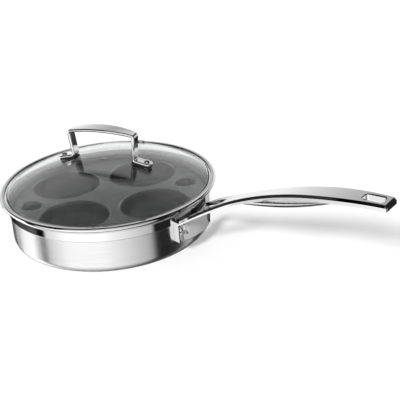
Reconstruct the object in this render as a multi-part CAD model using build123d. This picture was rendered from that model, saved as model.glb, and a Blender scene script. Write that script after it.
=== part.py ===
from build123d import *
import os
from math import asin, cos, degrees, pi, radians, sin, sqrt, tan

# Egg poacher pan: a clad steel pan with a cast handle, a lift-out tray with four egg wells,
# and a domed glass lid with an arched handle. Millimetres and degrees.
# The origin is the middle of the base on the hob, +Z is up and the pan handle runs along +X.

# --- Pan body: three bonded plies, pressed as one bowl ---
rim_bore_radius = 100.0       # inside radius above the ledge, a 20 cm pan
pan_height = 46.8             # hob to the top of the pouring lip
outer_ply = 0.5
core_ply = 1.4
inner_ply = 0.5
base_corner_radius = 8.0      # outside
ledge_width = 1.4             # inward step that carries the tray
ledge_drop = 11.9             # top of the lip down to the ledge
ledge_spread = 0.2            # how far the step opens out through the metal, per mm
ledge_bend = 0.3
lip_bend_radius = 3.6         # inside radius of the pouring lip
lip_reach = 1.2               # flat left at the lip's edge

# --- Pan handle: one casting with a curved bracket, two fork legs and a bowed bar ---
# Places along it are measured outwards from the pan's wall.
handle_length = 210.0
leg_stand = 1.5               # top of the legs above the bracket, where they leave it
bow_rise = 47.3               # highest point of the bar above the pan's lip
bow_crest_out = 199.0
root_thickness = 3.8
neck_thickness = 4.8
tip_thickness = 5.6
neck_out = 60.0               # narrowest place
neck_half_width = 9.8
leg_end_out = 48.0            # where the straight legs run into the neck
leg_end_half_width = 11.4
grip_out = 157.0              # widest place
grip_half_width = 12.7
tip_half_width = 10.8
tip_taper = 0.06              # slope of the sides at the tip
tip_corner_radius = 2.6
bar_bevel = 2.2
fork_width = 5.4              # each leg, across
fork_end_out = 42.0           # blunt end of the gap between the legs
fork_end_half_width = 3.4
fork_corner_radius = 1.6
keel_start_out = 59.0         # swelling under the bar that fills the hand
keel_length = 112.0
keel_depth = 11.0
keel_end_depth = 0.8
keel_half_width = 10.6
keel_end_half_width = 6.5
keel_stations = 5
keel_sink = 1.0               # how far the keel reaches up into the bar
slot_length = 19.2            # hanging slot
slot_width = 11.0
slot_tip_wall = 6.6
slot_corner_radius = 2.2
slot_bevel = 0.9
bracket_drop = 8.4            # top of the lip down to the bracket
bracket_height = 20.6
bracket_depth = 10.4          # furthest the bracket's bowed face stands from the wall
bracket_bow_radius = 58.0
bracket_half_angle = 13.8
bracket_round = 1.0
bracket_seat_gap = 0.1        # bracket to pan wall
pocket_back = 2.6             # metal left behind the recess for each rivet head
pocket_end_wall = 0.5         # angle left standing at the bracket's end
pocket_angle = 3.9
pocket_top_wall = 2.4
pocket_bottom_wall = 1.2
boss_notch_margin = 0.9       # round the rivet head, where it reaches into the middle boss

# --- Handle rivets ---
rivet_inset_angle = 3.8       # in from the bracket's end
rivet_shank_radius = 2.5
rivet_head_radius = 4.0
rivet_head_height = 2.7
rivet_tail_radius = 4.6
rivet_tail_height = 1.4
rivet_fit = 0.05

# --- Poaching tray: one pressed sheet ---
tray_sheet = 1.5
tray_wall_gap = 0.4           # tray edge to the pan's bore
tray_rim_height = 3.8         # upturned edge above the plate
tray_rim_bend = 1.6
tray_rim_flat = 0.1           # left between the two rounds on the edge
tray_foot_round = 0.4
well_count = 4
well_web = 4.36               # flat plate between neighbouring wells
well_rim_margin = 2.4         # flat plate between a well and the upturned edge
well_depth = 22.0
well_edge_bend = 3.0
well_straight = 0.5           # upright part of the well's wall
tray_turn = 2.2               # first well from the pan handle
finger_hole_radius = 9.6
finger_hole_bend = 2.4
finger_hole_collar = 4.2
finger_hole_margin = 4.5      # flat plate between a finger hole and the upturned edge

# --- Lid glass ---
lid_rest_gap = 0.3            # rim band to the pan's lip
dome_rise = 25.8              # flange to the crown, outside
glass_thickness = 4.0
glass_overhang = 7.9          # glass beyond the pan's bore
flange_width = 5.9            # flat edge outside the dome
dome_foot_bend = 4.0
dome_inner_bend = 3.0

# --- Rim band: steel strip rolled round the edge of the glass ---
band_height = 4.8
band_strip = 0.6
band_glass_gap = 0.1
band_lip_width = 3.6          # lip on top of the glass
skirt_bore_gap = 0.5          # skirt that drops inside the pan
skirt_depth = 3.5
skirt_bend = 0.7

# --- Lid handle: a cast arch with a turned-out foot at each end ---
lid_turn = 12.5               # lid handle from the pan handle
foot_fastener_radius = 45.5   # lid axis to each screw
arch_thickness = 3.4
foot_tip_length = 5.8         # beyond the screw
foot_heel_length = 13.2       # from the screw to the leg's middle
foot_bend = 2.4
leg_lean = 6.0                # outwards from upright
leg_length = 26.3             # from the foot's middle to the bar's
arch_corner_bend = 3.0
bar_end_slope = 12.5
arch_bar_half_width = 8.0     # at the middle of the bar
arch_leg_half_width = 5.4
foot_corner_cut = 2.6
arch_edge_round = 0.6

# --- Lid handle fasteners and seals ---
foot_seal_thickness = 1.2
foot_seal_margin = 0.6        # the seal stands in from the foot's edge
seal_heel_length = 1.4        # the seal reaches this far in past the leg's middle
screw_radius = 2.0
screw_fit = 0.05
screw_head_radius = 3.2
screw_head_height = 2.2
screw_end_length = 0.6        # thread past the nut
inner_seal_radius = 6.0
inner_seal_thickness = 1.0
inner_washer_radius = 5.6
inner_washer_thickness = 0.8
nut_across_flats = 7.0
nut_height = 3.2
nut_chamfer = 0.5
glass_hole_radius = 3.0
glass_seat_gap = 0.05         # flat parts to the curved glass

# --- Steam vent: a flanged eyelet clinched through the glass ---
vent_inset = 27.9             # in from the edge of the glass
vent_bore_radius = 1.5
vent_tube_radius = 2.6
vent_flange_radius = 4.6
vent_flange_thickness = 1.9
vent_flange_round = 0.9
vent_ring_radius = 4.4
vent_ring_thickness = 0.8

overcut = 5.0                 # how far a cutting solid runs past the metal

# --- Sizes that follow from the ones above ---
wall = outer_ply + core_ply + inner_ply
lower_bore_radius = rim_bore_radius - ledge_width
wall_radius = lower_bore_radius + wall
ledge_height = pan_height - ledge_drop
handle_reach = wall_radius + handle_length
neck_x = wall_radius + neck_out
leg_end_x = wall_radius + leg_end_out
grip_x = wall_radius + grip_out
fork_end_x = wall_radius + fork_end_out
keel_start_x = wall_radius + keel_start_out
bow_crest_x = wall_radius + bow_crest_out
slot_start_x = handle_reach - slot_tip_wall - slot_length
bow_crest_height = pan_height + bow_rise
bracket_top = pan_height - bracket_drop
bracket_bottom = bracket_top - bracket_height
bracket_crest_x = wall_radius + bracket_depth
bracket_bow_centre = bracket_crest_x - bracket_bow_radius
pocket_floor_radius = wall_radius + bracket_seat_gap + pocket_back
boss_notch_radius = rivet_head_radius + boss_notch_margin
rivet_angle = bracket_half_angle - rivet_inset_angle
rivet_height = (bracket_bottom + bracket_top) / 2
plate_top = ledge_height + tray_sheet
tray_radius = rim_bore_radius - tray_wall_gap
tray_rim_round = (tray_sheet - tray_rim_flat) / 2
tray_flat_radius = tray_radius - tray_sheet - tray_rim_bend
well_circle_reach = tray_flat_radius - well_rim_margin
well_pitch = 2 * sin(pi / well_count)   # gap between neighbouring wells' centres on a circle of radius 1
well_mouth_radius = (well_pitch * well_circle_reach - well_web) / (2 + well_pitch)
well_circle_radius = well_circle_reach - well_mouth_radius
well_radius = well_mouth_radius - well_edge_bend - tray_sheet
well_floor_bend = well_depth - well_edge_bend - well_straight
finger_hole_mouth_radius = finger_hole_radius + finger_hole_bend + tray_sheet
finger_hole_circle_radius = tray_flat_radius - finger_hole_margin - finger_hole_mouth_radius
glass_edge_radius = rim_bore_radius + glass_overhang
dome_foot_radius = glass_edge_radius - flange_width
band_lip_radius = glass_edge_radius - band_lip_width
vent_radius_from_axis = glass_edge_radius - vent_inset
band_bottom = pan_height + lid_rest_gap
flange_bottom = band_bottom + band_strip + band_glass_gap
flange_top = band_bottom + band_height - band_strip - band_glass_gap
dome_radius = (dome_foot_radius ** 2 + dome_rise ** 2) / (2 * dome_rise)
dome_centre = flange_top + dome_rise - dome_radius
screw_grip = foot_seal_thickness + arch_thickness


def revolved(face):
    """Turn a face drawn with X as radius and Y as height into a solid about the Z axis."""
    return revolve(Plane.XZ * face, Axis.Z)


def profile(points, bends):
    """Closed face through the points, each corner rounded by its own bend radius."""
    return make_face(FilletPolyline(*points, radius=bends, close=True))


def disc(radius, low, high):
    """Upright cylinder between two heights."""
    return Pos(0, 0, low) * Cylinder(radius, high - low, align=(Align.CENTER, Align.CENTER, Align.MIN))


# ---------------------------------------------------------------- pan body


def wall_surface(depth):
    """Corners and bends of the bowl's surface that lies depth into the metal, from floor to lip."""
    lower = lower_bore_radius + depth
    upper = rim_bore_radius + depth
    spread = ledge_spread * depth
    lip_edge = rim_bore_radius + lip_bend_radius + lip_reach
    points = [
        (lower, wall - depth),
        (lower, ledge_height - spread),
        (upper, ledge_height + spread),
        (upper, pan_height - depth),
        (lip_edge, pan_height - depth),
    ]
    bends = [base_corner_radius - wall + depth, ledge_bend, ledge_bend, lip_bend_radius - depth, 0]
    return points, bends


def ply(inner_depth, outer_depth):
    """One ply of the bowl, between two depths in the metal."""
    inner_points, inner_bends = wall_surface(inner_depth)
    outer_points, outer_bends = wall_surface(outer_depth)
    points = [(0, wall - outer_depth), *outer_points, *reversed(inner_points), (0, wall - inner_depth)]
    bends = [0, *outer_bends, *reversed(inner_bends), 0]
    return revolved(profile(points, bends)) - rivet_row(rivet_shank_radius + rivet_fit)


# ---------------------------------------------------------------- handle rivets


def rivet_plane(side, radius):
    """Plane square to one rivet at a distance from the pan's axis, facing outwards."""
    angle = radians(side * rivet_angle)
    outward = Vector(cos(angle), sin(angle), 0)
    return Plane(origin=outward * radius + Vector(0, 0, rivet_height), z_dir=outward)


def rivet_row(radius):
    """Cutting cylinders for both rivet holes."""
    length = bracket_crest_x - lower_bore_radius + 2 * overcut
    middle = (bracket_crest_x + lower_bore_radius) / 2
    return [rivet_plane(side, middle) * Cylinder(radius, length) for side in (-1, 1)]


def dome_head(radius, height):
    """Low domed head standing on the XY plane."""
    crown_radius = (radius ** 2 + height ** 2) / (2 * height)
    crown = RadiusArc((0, height), (radius, 0), crown_radius)
    outline = [Line((0, 0), (radius, 0)), crown, Line((0, height), (0, 0))]
    return revolved(make_face(outline))


def handle_rivet(side):
    """Rivet with its domed head in the bracket's pocket and its low tail inside the pan."""
    tail_seat = sqrt(lower_bore_radius ** 2 - rivet_tail_radius ** 2)
    head = rivet_plane(side, pocket_floor_radius) * dome_head(rivet_head_radius, rivet_head_height)
    tail = rivet_plane(side, tail_seat) * Rot(180, 0, 0) * dome_head(rivet_tail_radius, rivet_tail_height)
    shank_length = pocket_floor_radius - tail_seat
    shank_middle = (pocket_floor_radius + tail_seat) / 2
    return head + tail + rivet_plane(side, shank_middle) * Cylinder(rivet_shank_radius, shank_length)


# ---------------------------------------------------------------- pan handle


def bracket_end():
    """Plan position of the bracket's outer corner, where a leg starts."""
    angle = radians(bracket_half_angle)
    along = bracket_bow_centre * cos(angle)
    reach = along + sqrt(bracket_bow_radius ** 2 - (bracket_bow_centre * sin(angle)) ** 2)
    return Vector(reach * cos(angle), reach * sin(angle))


def bow_height(x):
    """Height of the bar's top at a distance from the pan's axis: one arc from the bracket to the tip."""
    run = bow_crest_x - bracket_end().X
    rise = bow_crest_height - bracket_top - leg_stand
    bow_radius = (run ** 2 + rise ** 2) / (2 * rise)
    return bow_crest_height - bow_radius + sqrt(bow_radius ** 2 - (x - bow_crest_x) ** 2)


def sector(low, high, start_angle, angle, reach):
    """Wedge about the pan's axis between two heights."""
    arc = CenterArc((0, 0), reach, start_angle, angle)
    wedge = make_face([Line((0, 0), arc @ 0), arc, Line(arc @ 1, (0, 0))])
    return Pos(0, 0, low) * extrude(wedge, high - low)


def bracket_seat():
    """Solid of the pan wall's outer surface with the seat gap, which cuts the bracket's back."""
    points, bends = wall_surface(wall + bracket_seat_gap)
    lower, step_foot, step_head = points[0][0], points[1], points[2]
    bottom = bracket_bottom - overcut
    top = bracket_top + overcut
    outline = [(0, bottom), (lower, bottom), step_foot, step_head, (step_head[0], top), (0, top)]
    return revolved(profile(outline, [0, 0, *bends[1:3], 0, 0]))


def bracket():
    """Bowed plate that hugs the pan wall, with a pocket for each rivet head."""
    reach = bracket_crest_x + overcut
    face = Pos(bracket_bow_centre, 0) * Circle(bracket_bow_radius)
    block = Pos(0, 0, bracket_bottom) * extrude(face, bracket_top - bracket_bottom)
    rims = block.edges().filter_by(GeomType.CIRCLE)
    block = fillet(rims, bracket_round)
    body = block & sector(bracket_bottom, bracket_top, -bracket_half_angle, 2 * bracket_half_angle, reach)
    body -= bracket_seat()
    pocket_bottom = bracket_bottom + pocket_bottom_wall
    pocket_top = bracket_top - pocket_top_wall
    pocket_start = bracket_half_angle - pocket_end_wall - pocket_angle
    for first_angle in (pocket_start, -pocket_start - pocket_angle):
        pocket = sector(pocket_bottom, pocket_top, first_angle, pocket_angle, reach)
        body -= pocket - disc(pocket_floor_radius, pocket_bottom, pocket_top)
    return body


def bar_outline():
    """Plan view of the bar and the fork's outer sides."""
    root = bracket_end()
    leg_end = Vector(leg_end_x, leg_end_half_width)
    side = [
        Line(root, leg_end),
        Spline(
            leg_end,
            (neck_x, neck_half_width),
            (grip_x, grip_half_width),
            (handle_reach, tip_half_width),
            tangents=[(leg_end - root).normalized(), Vector(1, -tip_taper)],
        ),
    ]
    edges = side + [mirror(edge, Plane.XZ) for edge in side]
    tip = Line((handle_reach, tip_half_width), (handle_reach, -tip_half_width))
    back = Line((root.X, -root.Y), (root.X, root.Y))
    return make_face([*edges, tip, back])


def fork_gap_outline():
    """Plan view of the gap between the fork's legs."""
    root = bracket_end() - Vector(0, fork_width)
    return profile(
        [
            (root.X - overcut, root.Y),
            (root.X, root.Y),
            (fork_end_x, fork_end_half_width),
            (fork_end_x, -fork_end_half_width),
            (root.X, -root.Y),
            (root.X - overcut, -root.Y),
        ],
        [0, 0, fork_corner_radius, fork_corner_radius, 0, 0],
    )


def bar_side_view():
    """Side view of the legs and bar: the bowed top and a slightly thicker tip."""
    stations = [(bracket_end().X, root_thickness), (neck_x, neck_thickness), (handle_reach, tip_thickness)]
    top = [(x, bow_height(x)) for x, _ in stations]
    bottom = [(x, bow_height(x) - thickness) for x, thickness in stations]
    outline = [
        ThreePointArc(*top),
        Line(top[2], bottom[2]),
        ThreePointArc(*bottom),
        Line(bottom[0], top[0]),
    ]
    return make_face(outline)


def keel_section(index):
    """Half ellipse that hangs under the bar at one station along the keel."""
    share = index / (keel_stations - 1)
    swell = 1 - (2 * share - 1) ** 2
    x = keel_start_x + share * keel_length
    depth = keel_end_depth + (keel_depth - keel_end_depth) * swell + keel_sink
    half_width = keel_end_half_width + (keel_half_width - keel_end_half_width) * swell
    level = bow_height(x) - neck_thickness + keel_sink
    hull = EllipticalCenterArc((0, 0), half_width, depth, start_angle=180, arc_size=180)
    section = make_face([hull, Line((-half_width, 0), (half_width, 0))])
    return Plane(origin=(x, 0, level), x_dir=(0, 1, 0), z_dir=(1, 0, 0)) * section


def hanging_slot():
    """Solid that cuts the hanging slot and bevels its upper edge."""
    centre_x = slot_start_x + slot_length / 2
    top = bow_height(centre_x)
    opening = RectangleRounded(slot_length, slot_width, slot_corner_radius)
    shaft = Pos(centre_x, 0, top - tip_thickness - overcut) * extrude(opening, tip_thickness + 2 * overcut)
    mouth_sketch = offset(opening, slot_bevel)
    mouth = loft([Pos(centre_x, 0, top - slot_bevel) * opening, Pos(centre_x, 0, top) * mouth_sketch])
    cap = Pos(centre_x, 0, top) * extrude(mouth_sketch, slot_bevel)
    return shaft + mouth + cap


def pan_handle():
    """The whole casting."""
    height = bow_crest_height + overcut
    blank = extrude(bar_outline() - fork_gap_outline(), height)
    tip_edges = blank.edges().filter_by(Axis.Z).filter_by(lambda edge: edge.center().X > slot_start_x)
    blank = fillet(tip_edges, tip_corner_radius)
    bar = blank & extrude(Plane.XZ * bar_side_view(), rim_bore_radius, both=True)
    top_face = bar.faces().filter_by(lambda face: face.normal_at().Z > 0.5).sort_by(SortBy.AREA)[-1]
    bar = chamfer(top_face.edges().filter_by(lambda edge: edge.center().X > leg_end_x), bar_bevel)
    keel = loft([keel_section(index) for index in range(keel_stations)])
    notch = disc(boss_notch_radius, 0, bracket_crest_x - pocket_floor_radius + overcut)
    notches = [rivet_plane(side, pocket_floor_radius) * notch for side in (-1, 1)]
    holes = rivet_row(rivet_shank_radius + rivet_fit)
    return bracket() + bar + keel - hanging_slot() - notches - holes


# ---------------------------------------------------------------- poaching tray


def well_positions():
    """Angle of each well's centre from the pan handle."""
    return [tray_turn + index * 360 / well_count for index in range(well_count)]


def finger_hole_positions():
    """Two holes opposite each other, each midway between two wells."""
    return [tray_turn + 180 / well_count, tray_turn + 180 / well_count + 180]


def around(angle, radius, shape):
    """Place a shape at an angle and distance from the Z axis."""
    return Rot(0, 0, angle) * Pos(radius, 0, 0) * shape


def sunk_collar(radius, drop, edge_bend, foot_bend, closed):
    """Sheet that turns down from the plate at a radius, as a well with a floor or as an open collar."""
    floor = plate_top - drop
    join = radius + edge_bend + tray_sheet
    under = radius + tray_sheet
    if closed:
        points = [
            (0, floor),
            (radius, floor),
            (radius, plate_top),
            (join, plate_top),
            (join, ledge_height),
            (under, ledge_height),
            (under, floor - tray_sheet),
            (0, floor - tray_sheet),
        ]
        bends = [0, foot_bend, edge_bend, 0, 0, edge_bend - tray_sheet, foot_bend + tray_sheet, 0]
    else:
        points = [
            (radius, plate_top),
            (join, plate_top),
            (join, ledge_height),
            (under, ledge_height),
            (under, floor),
            (radius, floor),
        ]
        bends = [edge_bend, 0, 0, edge_bend - tray_sheet, 0, 0]
    return revolved(profile(points, bends))


def tray_plate():
    """Flat plate with its upturned edge."""
    rim_top = plate_top + tray_rim_height
    rim_bore = tray_radius - tray_sheet
    points = [
        (0, ledge_height),
        (tray_radius, ledge_height),
        (tray_radius, rim_top),
        (rim_bore, rim_top),
        (rim_bore, plate_top),
        (0, plate_top),
    ]
    bends = [0, tray_foot_round, tray_rim_round, tray_rim_round, tray_rim_bend, 0]
    return revolved(profile(points, bends))


def egg_tray():
    """Tray with its wells and finger holes pressed into the plate."""
    well = sunk_collar(well_radius, well_depth, well_edge_bend, well_floor_bend, closed=True)
    collar = sunk_collar(finger_hole_radius, finger_hole_collar, finger_hole_bend, 0, closed=False)
    well_cut = disc(well_mouth_radius, ledge_height - overcut, plate_top + overcut)
    hole_cut = disc(finger_hole_mouth_radius, ledge_height - overcut, plate_top + overcut)
    tray = tray_plate()
    for angle in well_positions():
        tray = tray - around(angle, well_circle_radius, well_cut) + around(angle, well_circle_radius, well)
    for angle in finger_hole_positions():
        tray -= around(angle, finger_hole_circle_radius, hole_cut)
        tray += around(angle, finger_hole_circle_radius, collar)
    return tray


# ---------------------------------------------------------------- lid


def dome_height(radius, depth=0.0):
    """Height of the dome's surface at a radius, depth into the glass."""
    return dome_centre + sqrt((dome_radius - depth) ** 2 - radius ** 2)


def dome_arc(reach, depth):
    """Meridian of the dome from the crown out to a radius, depth into the glass."""
    half = reach / 2
    return ThreePointArc(
        (0, dome_height(0, depth)), (half, dome_height(half, depth)), (reach, dome_height(reach, depth))
    )


def lid_glass():
    """Domed glass with a flat flange and a rounded edge, drilled for the screws and the vent."""
    inner_reach = sqrt((dome_radius - glass_thickness) ** 2 - (flange_bottom - dome_centre) ** 2)
    edge_radius = (flange_top - flange_bottom) / 2
    edge_centre = glass_edge_radius - edge_radius
    outline = [
        dome_arc(dome_foot_radius, 0),
        Line((dome_foot_radius, flange_top), (edge_centre, flange_top)),
        CenterArc((edge_centre, flange_bottom + edge_radius), edge_radius, 90, -180),
        Line((edge_centre, flange_bottom), (inner_reach, flange_bottom)),
        dome_arc(inner_reach, glass_thickness),
        Line((0, dome_height(0, glass_thickness)), (0, dome_height(0))),
    ]
    section = make_face(outline)
    corners = section.vertices()
    foot = corners.sort_by_distance((dome_foot_radius, flange_top))[0]
    section = fillet(foot, dome_foot_bend)
    inner_foot = section.vertices().sort_by_distance((inner_reach, flange_bottom))[0]
    section = fillet(inner_foot, dome_inner_bend)
    glass = revolved(section)
    for side in (-1, 1):
        glass -= foot_place(side) * Cylinder(glass_hole_radius, 2 * overcut + glass_thickness)
    return glass - vent_place() * Cylinder(vent_tube_radius + screw_fit, 2 * overcut + glass_thickness)


def rim_band():
    """Strip folded over the glass: top lip, round edge, lower lip and a skirt inside the pan."""
    half = band_strip / 2
    roll = band_height / 2 - half
    roll_centre = glass_edge_radius + band_glass_gap + half - roll
    skirt_radius = rim_bore_radius - skirt_bore_gap - half
    low = band_bottom + half
    high = band_bottom + band_height - half
    skirt = FilletPolyline(
        (roll_centre, low), (skirt_radius, low), (skirt_radius, band_bottom - skirt_depth), radius=skirt_bend
    )
    path = [
        Line((band_lip_radius, high), (roll_centre, high)),
        CenterArc((roll_centre, (low + high) / 2), roll, 90, -180),
        *skirt.edges(),
    ]
    return revolved(trace(path, band_strip))


def sphere_place(radius, angle):
    """Location on the dome's outside, with Z along the dome's normal and X pointing down the slope."""
    slope = degrees(asin(radius / dome_radius))
    return Rot(0, 0, angle) * Pos(radius, 0, dome_height(radius)) * Rot(0, slope, 0)


def foot_place(side):
    """Screw position on the dome for one foot of the lid handle."""
    return sphere_place(foot_fastener_radius, lid_turn + (0 if side > 0 else 180))


def vent_place():
    """Vent position, square to the line of the lid handle."""
    return sphere_place(vent_radius_from_axis, lid_turn + 90)


def arch_half_path():
    """Middle line of half the arch, from the foot's tip to the middle of the bar, X outwards."""
    slope = asin(foot_fastener_radius / dome_radius)
    outward = Vector(cos(slope), -sin(slope))
    upward = Vector(sin(slope), cos(slope))
    screw = Vector(foot_fastener_radius, dome_height(foot_fastener_radius))
    middle = screw + upward * (foot_seal_thickness + arch_thickness / 2)
    lean = radians(leg_lean)
    leg_direction = Vector(sin(lean), cos(lean))
    foot_turn = 90 - degrees(slope) + leg_lean
    foot_setback = foot_bend * tan(radians(foot_turn / 2))
    corner_turn = 90 + leg_lean - bar_end_slope
    corner_setback = arch_corner_bend * tan(radians(corner_turn / 2))
    foot = Line(middle + outward * foot_tip_length, middle - outward * (foot_heel_length - foot_setback))
    rise = JernArc(foot @ 1, -outward, foot_bend, -foot_turn)
    leg_end = (rise @ 1) + leg_direction * (leg_length - foot_setback - corner_setback)
    leg = Line(rise @ 1, leg_end)
    corner = JernArc(leg_end, leg_direction, arch_corner_bend, corner_turn)
    bar_radius = (corner @ 1).X / sin(radians(bar_end_slope))
    bar = JernArc(corner @ 1, corner % 1, bar_radius, bar_end_slope)
    return [foot, rise, leg, corner, bar]


def arch_outline():
    """Plan view of the lid handle: a bar that swells in the middle, with the feet's corners cut."""
    slope = asin(foot_fastener_radius / dome_radius)
    bar_end_x = (arch_half_path()[-1] @ 0).X
    cut_x = foot_fastener_radius + foot_tip_length * cos(slope) - foot_corner_cut
    side = [
        ThreePointArc(
            (-bar_end_x, arch_leg_half_width), (0, arch_bar_half_width), (bar_end_x, arch_leg_half_width)
        )
    ]
    for sign in (-1, 1):
        side.append(
            Polyline(
                (sign * bar_end_x, arch_leg_half_width),
                (sign * cut_x, arch_leg_half_width),
                (sign * (cut_x + arch_leg_half_width), 0),
            )
        )
    return make_face(side + [mirror(edge, Plane.XZ) for edge in side])


def lid_handle():
    """Arch cut from its side view and its plan view, with its edges rounded."""
    half_view = trace(arch_half_path(), arch_thickness)
    side_view = half_view + mirror(half_view, Plane.YZ)
    blank = extrude(Plane.XZ * side_view, 2 * arch_bar_half_width, both=True)
    arch = blank & extrude(arch_outline(), 2 * bow_crest_height)
    arch = fillet(arch.edges(), arch_edge_round)
    for side in (-1, 1):
        hole = Cylinder(screw_radius + screw_fit, 2 * overcut + 2 * arch_thickness)
        arch -= Rot(0, 0, -lid_turn) * foot_place(side) * hole
    return Rot(0, 0, lid_turn) * arch


def glass_ball(depth):
    """Ball whose surface lies depth inside the dome's outside."""
    return Pos(0, 0, dome_centre) * Sphere(dome_radius - depth)


def foot_seal(side):
    """Rubber pad between one foot and the glass, shaped to the dome underneath."""
    tip = foot_tip_length - foot_seal_margin
    heel = foot_heel_length + seal_heel_length
    half_width = arch_leg_half_width - foot_seal_margin
    pad = profile(
        [(-heel, half_width), (tip, half_width), (tip, -half_width), (-heel, -half_width)],
        [foot_seal_margin, foot_corner_cut, foot_corner_cut, foot_seal_margin],
    )
    block = extrude(pad, -overcut) + extrude(pad, foot_seal_thickness - glass_seat_gap)
    seal = foot_place(side) * (block - Cylinder(screw_radius + screw_fit, 3 * overcut))
    return seal - glass_ball(-glass_seat_gap)


def screw(side):
    """Screw with a low domed head on the foot."""
    reach = screw_grip + glass_thickness + inner_seal_thickness + inner_washer_thickness
    reach += nut_height + screw_end_length + 2 * glass_seat_gap
    shank = disc(screw_radius, screw_grip - reach, screw_grip)
    head = Pos(0, 0, screw_grip) * dome_head(screw_head_radius, screw_head_height)
    return foot_place(side) * (shank + head)


def under_glass(side, drop):
    """Location on the screw's axis, drop below the inside of the glass, with Z pointing into the lid."""
    sag = (dome_radius - glass_thickness) - sqrt((dome_radius - glass_thickness) ** 2 - inner_seal_radius ** 2)
    return foot_place(side) * Pos(0, 0, -glass_thickness - sag - glass_seat_gap - drop) * Rot(180, 0, 0)


def ring(outer_radius, thickness):
    """Flat washer for the screw, standing on the XY plane."""
    return disc(outer_radius, 0, thickness) - Cylinder(screw_radius + screw_fit, 3 * overcut)


def inner_seal(side):
    """Rubber washer against the inside of the glass."""
    return under_glass(side, 0) * ring(inner_seal_radius, inner_seal_thickness)


def inner_washer(side):
    """Steel washer over the rubber one."""
    return under_glass(side, inner_seal_thickness) * ring(inner_washer_radius, inner_washer_thickness)


def nut(side):
    """Hexagon nut inside the lid."""
    corner_radius = nut_across_flats / 2 / cos(pi / 6)
    body = extrude(RegularPolygon(corner_radius, 6), nut_height)
    cone = Cone(corner_radius + nut_height, corner_radius - nut_chamfer, nut_height + nut_chamfer)
    body &= Pos(0, 0, (nut_height - nut_chamfer) / 2) * cone
    body -= Cylinder(screw_radius + screw_fit, 3 * overcut)
    return under_glass(side, inner_seal_thickness + inner_washer_thickness) * body


def vent_eyelet():
    """Flanged tube through the glass."""
    flange = disc(vent_flange_radius, glass_seat_gap, glass_seat_gap + vent_flange_thickness)
    rim = flange.edges().filter_by(GeomType.CIRCLE).sort_by(Axis.Z)[-1]
    flange = fillet(rim, vent_flange_round)
    tube = disc(vent_tube_radius, -vent_drop() - vent_ring_thickness, glass_seat_gap)
    return vent_place() * (flange + tube - Cylinder(vent_bore_radius, 3 * overcut))


def vent_drop():
    """Depth of the clinch ring's seat below the outside of the glass."""
    inner_radius = dome_radius - glass_thickness
    sag = inner_radius - sqrt(inner_radius ** 2 - vent_ring_radius ** 2)
    return glass_thickness + sag + glass_seat_gap


def vent_ring():
    """Ring clinched on the eyelet inside the lid."""
    body = disc(vent_ring_radius, -vent_drop() - vent_ring_thickness, -vent_drop())
    return vent_place() * (body - Cylinder(vent_tube_radius + screw_fit, 3 * overcut))


def pair(maker):
    """The same piece at both ends, as separate solids in one node."""
    return Compound(children=[maker(side) for side in (-1, 1)])


parts = {
    "pan_inner_ply": ply(0, inner_ply),
    "pan_core_ply": ply(inner_ply, inner_ply + core_ply),
    "pan_outer_ply": ply(inner_ply + core_ply, wall),
    "pan_handle": pan_handle(),
    "handle_rivets": pair(handle_rivet),
    "egg_tray": egg_tray(),
    "lid_glass": lid_glass(),
    "lid_rim_band": rim_band(),
    "lid_handle": lid_handle(),
    "lid_handle_screws": pair(screw),
    "lid_foot_seals": pair(foot_seal),
    "lid_inner_seals": pair(inner_seal),
    "lid_inner_washers": pair(inner_washer),
    "lid_handle_nuts": pair(nut),
    "steam_vent_eyelet": vent_eyelet(),
    "steam_vent_ring": vent_ring(),
}

os.makedirs("parts", exist_ok=True)
for name, shape in parts.items():
    export_step(shape, f"parts/{name}.step")
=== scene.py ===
"""Egg poacher pan: a clad steel pan, its non-stick tray and its domed glass lid, dressed on the CAD frame.

Places are in metres, in the CAD's own frame: the origin is the middle of the pan's base, +Z is up
and the pan handle runs along +X. The lid handle's own sizes are in millimetres.
"""

import logging
import math
from dataclasses import dataclass
from enum import Enum
from typing import Callable, Sequence, Union

import bmesh
import bpy
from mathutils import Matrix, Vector


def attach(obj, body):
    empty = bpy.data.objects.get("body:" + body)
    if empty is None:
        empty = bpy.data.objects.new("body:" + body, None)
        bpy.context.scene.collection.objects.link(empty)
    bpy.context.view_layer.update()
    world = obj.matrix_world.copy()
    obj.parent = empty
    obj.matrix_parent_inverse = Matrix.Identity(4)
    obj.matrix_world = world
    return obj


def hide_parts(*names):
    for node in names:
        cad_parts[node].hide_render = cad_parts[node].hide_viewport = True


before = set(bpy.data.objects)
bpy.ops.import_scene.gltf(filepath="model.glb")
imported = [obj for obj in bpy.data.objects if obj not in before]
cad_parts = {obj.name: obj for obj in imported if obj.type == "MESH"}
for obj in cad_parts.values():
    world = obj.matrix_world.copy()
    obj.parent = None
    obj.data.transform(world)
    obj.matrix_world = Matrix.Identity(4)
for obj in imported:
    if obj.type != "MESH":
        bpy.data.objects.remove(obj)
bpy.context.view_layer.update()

log = logging.getLogger("egg_poacher")

MM = 0.001

Value = Union[float, bpy.types.NodeSocket]
Stops = tuple[tuple[float, float], ...]
Corner = tuple[float, float, float]
PlaceTest = Callable[[Vector], bool]


# ------------------------------------------------------------------ shader helpers

BUMP_DISTANCE = 0.05 * MM        # depth that a height of 1 stands for

MARKS_PER_METRE = 3200.0
LONG_STRETCH = 90.0              # length of a drawn polishing mark over its width
SHORT_STRETCH = 3.0              # the same on a tumbled piece
MARKS_DETAIL = 3.0
MARKS_RANGE = (0.35, 0.7)        # noise levels between which a mark deepens

CLOUD_SCALE = 30.0               # on coatings and glass
CLOUD_DETAIL = 4.0
CLOUD_DISTORTION = 0.6
CLOUD_RANGE = (0.3, 0.7)
SCRATCH_TURN = (0.3, 0.5, 0.8)
SCRATCH_STRETCH = (9.0, 1.0, 4.0)
SCRATCH_SCALE = 40.0
SCRATCH_WIDTH = 0.006            # share of a scratch cell


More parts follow.
